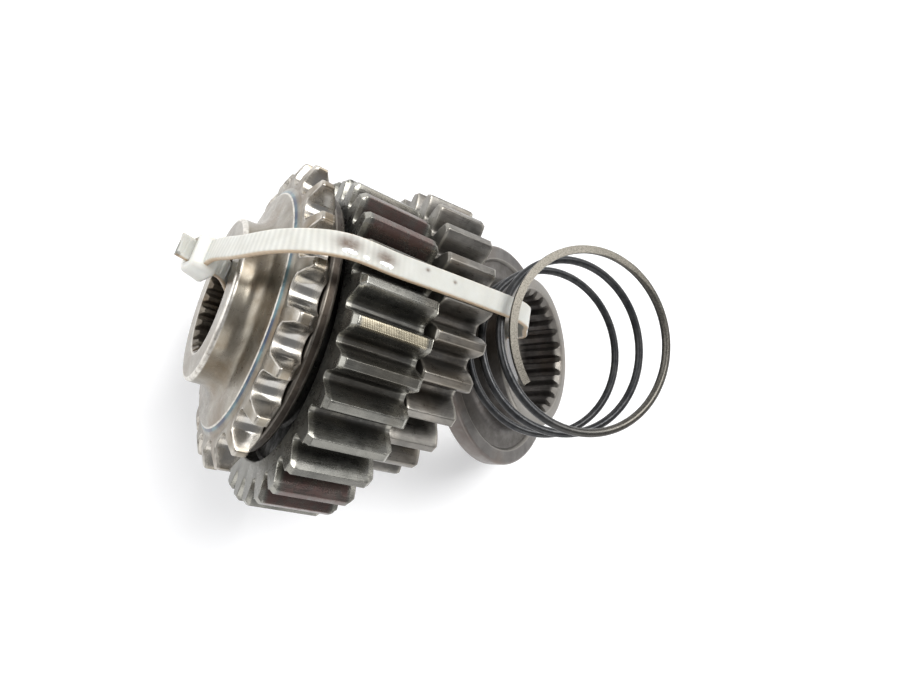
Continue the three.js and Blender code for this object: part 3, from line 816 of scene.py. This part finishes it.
def sprocket_steel():
    """Satin forged steel, polished by the chain, with a heat-tinted bevel."""
    s = Shader("sprocket_steel")
    tool_marks = s.noise(s.scaled(s.turned(), (9.0, 9.0, 1.0)), 1.0, 3.0, 0.6)
    patches = s.ramp(s.noise(s.mm, 0.12, 6.0, 0.62, 0.8), 0.34, 0.66)
    blotch = s.noise(s.mm, 0.6, 8.0, 0.68, 0.4)
    speck = s.noise(s.mm, 5.0, 4.0, 0.7)
    polished = s.mark("patch")

    color = s.mix(patches, rgb(112, 104, 91), rgb(152, 146, 134))
    color = s.mix(s.ramp(s.noise(s.mm, 0.09, 4.0), 0.44, 0.62, 0, 0.75), color, rgb(112, 95, 72))
    color = s.mix(polished, color, rgb(156, 154, 150))
    grain = s.times(s.ramp(tool_marks, 0.3, 0.7, 0.9, 1.07), s.ramp(speck, 0.3, 0.7, 0.92, 1.05))
    color = s.mix(1.0, color, s.gray(grain), "MULTIPLY")
    heat = s.mix(s.ramp(s.noise(s.mm, 0.25, 3.0), 0.4, 0.6), rgb(52, 68, 92), rgb(92, 122, 128))
    color = s.mix(s.times(s.mark("tint"), 0.85), color, heat)
    # Dirt and painted shade: the bore, the back face and the roots of the teeth darken towards a dark
    # brown.
    dirt_and_shade = s.times(s.mark("soil"), s.ramp(blotch, 0.3, 0.6, 0.25, 1.0))
    color = s.mix(dirt_and_shade, color, rgb(52, 44, 38))
    rub = s.times(s.mark("wear"), s.ramp(blotch, 0.35, 0.6, 0.35, 1.0))
    color = s.mix(rub, color, rgb(214, 210, 202))

    rough = s.plus(s.ramp(blotch, 0.35, 0.65, 0.26, 0.34), s.times(dirt_and_shade, 0.25))
    rough = s.math("SUBTRACT", rough, s.times(polished, 0.14))
    normal = s.bump(tool_marks, 0.15, 0.005)
    normal = s.bump(s.plus(s.times(speck, 0.6), blotch), 0.2, 0.003, normal)
    return s.finish(color, rough, normal, Metallic=0.92)


def spring_steel():
    """Blackened spring wire, with a bare speckled face where the end is ground."""
    s = Shader("spring_steel")
    blotch = s.noise(s.mm, 0.5, 6.0, 0.6)
    speck = s.noise(s.mm, 3.6, 5.0, 0.72)
    color = s.mix(s.ramp(blotch, 0.36, 0.64), rgb(48, 49, 51), rgb(68, 68, 68))
    bare = s.mix(s.ramp(speck, 0.36, 0.66), rgb(66, 63, 57), rgb(112, 108, 100))
    color = s.mix(s.mark("tint"), color, bare)
    rough = s.ramp(speck, 0.3, 0.7, 0.24, 0.42)
    return s.finish(color, rough, s.bump(speck, 0.3, 0.02), Metallic=0.85)


def tie_nylon():
    """Natural nylon, a little see-through, yellower on its edges, scorched and flaking in places."""
    s = Shader("tie_nylon")
    cloud = s.noise(s.mm, 0.22, 5.0, 0.6)
    fine = s.noise(s.mm, 2.4, 5.0, 0.65)
    color = s.mix(s.ramp(cloud, 0.35, 0.65), rgb(226, 226, 219), rgb(212, 211, 203))
    color = s.mix(s.times(s.mark("tint"), 0.5), color, rgb(146, 147, 141))
    edges = s.ramp(s.mark("wear"), 0.9, 0.99)
    color = s.mix(s.times(edges, 0.75), color, rgb(186, 158, 122))
    burn = s.times(s.mark("soil"), s.ramp(s.noise(s.mm, 0.42, 6.0, 0.7, 1.2), 0.3, 0.6, 0.7, 1.0))
    color = s.mix(burn, color, rgb(84, 60, 40))
    ragged = s.ramp(s.noise(s.mm, 0.95, 3.0, 0.6, 0.8), 0.3, 0.5)
    flakes = s.math("GREATER_THAN", s.times(s.mark("patch"), ragged), 0.3)
    color = s.mix(flakes, color, rgb(254, 254, 252))
    rough = s.plus(s.ramp(fine, 0.3, 0.7, 0.3, 0.46), s.times(burn, 0.3))
    normal = s.bump(s.plus(fine, s.times(burn, 1.5)), 0.25, 0.1)
    return s.finish(color, rough, normal, Metallic=0.0, Subsurface_Weight=0.3,
                    Subsurface_Radius=(0.0016, 0.0013, 0.001), Subsurface_Scale=1.0)


def table_paper():
    """A pale table that glows more with distance, so that it meets the bright background."""
    s = Shader("white_table")
    level = s.ramp(s.noise(s.mm, 0.05, 4.0), 0.3, 0.7, 0.86, 0.88)
    away = s.node("ShaderNodeVectorMath", "LENGTH", Vector=s.mm).outputs["Value"]
    return s.finish(s.gray(level), 0.7, s.bump(level, 0.05, 0.05), Emission_Color=(1, 1, 1, 1),
                    Emission_Strength=s.ramp(away, 150, 900, 0.2, 0.6))


# ---- The set ----

bronze = steel("bush_bronze")
wide_place = axle("wide_gear_turn", WIDE_GEAR_TURN)
narrow_place = axle("narrow_gear_turn", NARROW_GEAR_TURN)
tie_origin = Vector(JOINTS["sprocket_turn"]["pos_m"]) - Vector(SPROCKET_AT * MM)
tie_place = Matrix.Translation(tie_origin)
nylon = tie_nylon()

build(
    "sprocket_body", sprocket_skins(), axle("sprocket_turn", SPROCKET_TURN), sprocket_steel(),
    "sprocket", "sprocket", closed=False,
)
build(
    "thrust_disc_plate", [disc_skin()], axle("thrust_disc_turn"), steel("thrust_disc_steel"),
    "thrust_disc", "thrust_disc",
)
build(
    "wide_gear_body", [gear_skin(WIDE_GEAR)], wide_place,
    steel("wide_gear_steel", lathe=False, roughness=(0.2, 0.34), hatch=True),
    "wide_gear", "wide_gear",
)
build(
    "wide_gear_bearing", [bush_skin(WIDE_GEAR)], wide_place, bronze,
    "wide_gear", "wide_gear_bush",
)
build(
    "narrow_gear_body", [gear_skin(NARROW_GEAR)], narrow_place,
    steel("narrow_gear_steel", lathe=False, roughness=(0.26, 0.42)),
    "narrow_gear", "narrow_gear",
)
build(
    "narrow_gear_bearing", [bush_skin(NARROW_GEAR)], narrow_place, bronze,
    "narrow_gear", "narrow_gear_bush",
)
build(
    "sleeve_body", [sleeve_outside(), sleeve_bore()], axle("sleeve_turn"),
    steel("sleeve_steel", roughness=(0.32, 0.46)),
    "sleeve", "sliding_sleeve", closed=False,
)
build(
    "spring_coil", [spring_skin()], axle("spring_turn", SPRING_TURN), spring_steel(),
    "spring", "spring", closed=False, capped=True,
)
build(
    "tie_strap", [strap_skin()], tie_place, nylon,
    "cable_tie", "cable_tie", closed=False, capped=True, sharp=50,
)
build(
    "tie_head", [head_skin()], tie_place, nylon,
    "cable_tie", "cable_tie", sharp=50,
)

# ---- Table, light and camera ----

FLOOR_REACH = 4000
floor_corners = [
    (side_x * FLOOR_REACH, side_y * FLOOR_REACH, 0)
    for side_x, side_y in ((-1, -1), (1, -1), (1, 1), (-1, 1))
]
floor_mesh = placed_mesh("table_top", floor_corners, [(0, 1, 2, 3)], Matrix.Identity(4))
floor_mesh.materials.append(table_paper())
table_top = bpy.data.objects.new("table_top", floor_mesh)
bpy.context.scene.collection.objects.link(table_top)


def area_light(name, power, size, position, color=(1, 1, 1)):
    """A round light of some watts, aimed at the middle of the set."""
    light = bpy.data.lights.new(name, "AREA")
    light.shape, light.size, light.energy, light.color = "DISK", size, power, color
    lamp = bpy.data.objects.new(name, light)
    lamp.location = position
    lamp.rotation_mode = "QUATERNION"
    lamp.rotation_quaternion = (Vector((0, 0, 0.03)) - Vector(position)).to_track_quat("-Z", "Y")
    bpy.context.scene.collection.objects.link(lamp)


area_light("key", 8, 0.7, (0.35, 0.75, 0.9))
area_light("overhead", 4, 0.45, (0.12, 0.5, 1.0))
area_light("fill", 4, 0.9, (-0.9, 0.1, 0.55), color=(0.97, 0.98, 1))
area_light("front", 2.5, 0.8, (0.5, -0.8, 0.6))

# The studio's walls are white at the table's level and grey overhead, for the steel to mirror.
WALL_TONES = ((0.06, 1.0), (0.5, 0.5), (1.0, 0.38))
world = bpy.data.worlds.new("studio")
bpy.context.scene.world = world
world.use_nodes = True
nodes, links = world.node_tree.nodes, world.node_tree.links
directions = nodes.new("ShaderNodeTexCoord").outputs["Generated"]
split = nodes.new("ShaderNodeSeparateXYZ")
walls = nodes.new("ShaderNodeValToRGB")
links.new(directions, split.inputs[0])
links.new(split.outputs["Z"], walls.inputs[0])
links.new(walls.outputs[0], nodes["Background"].inputs["Color"])
walls.color_ramp.elements.new(0.4)
for stop, (height, level) in zip(walls.color_ramp.elements, WALL_TONES):
    stop.position = height
    stop.color = (level, level, level * 1.02, 1)

# The camera looks almost straight down on the set, as the photo does.
CAMERA_HEIGHT = 0.17998
VIEW_DIRECTION, VIEW_RIGHT = Vector((0.2569, 0.0827, -0.9629)), Vector((0.9166, 0.2950, 0.2699))
camera_data = bpy.data.cameras.new("camera")
camera_data.sensor_width, camera_data.lens = 36, 24
camera_data.clip_start = 0.005
camera = bpy.data.objects.new("camera", camera_data)
bpy.context.scene.collection.objects.link(camera)
back = -VIEW_DIRECTION.normalized()
up = back.cross(VIEW_RIGHT).normalized()
facing = Matrix((up.cross(back), up, back)).transposed()
camera_place = Matrix.Translation(tie_origin + Vector((0, 0, CAMERA_HEIGHT)))
camera.matrix_world = camera_place @ facing.to_4x4()
bpy.context.scene.camera = camera
bpy.context.scene.view_settings.view_transform = "Standard"
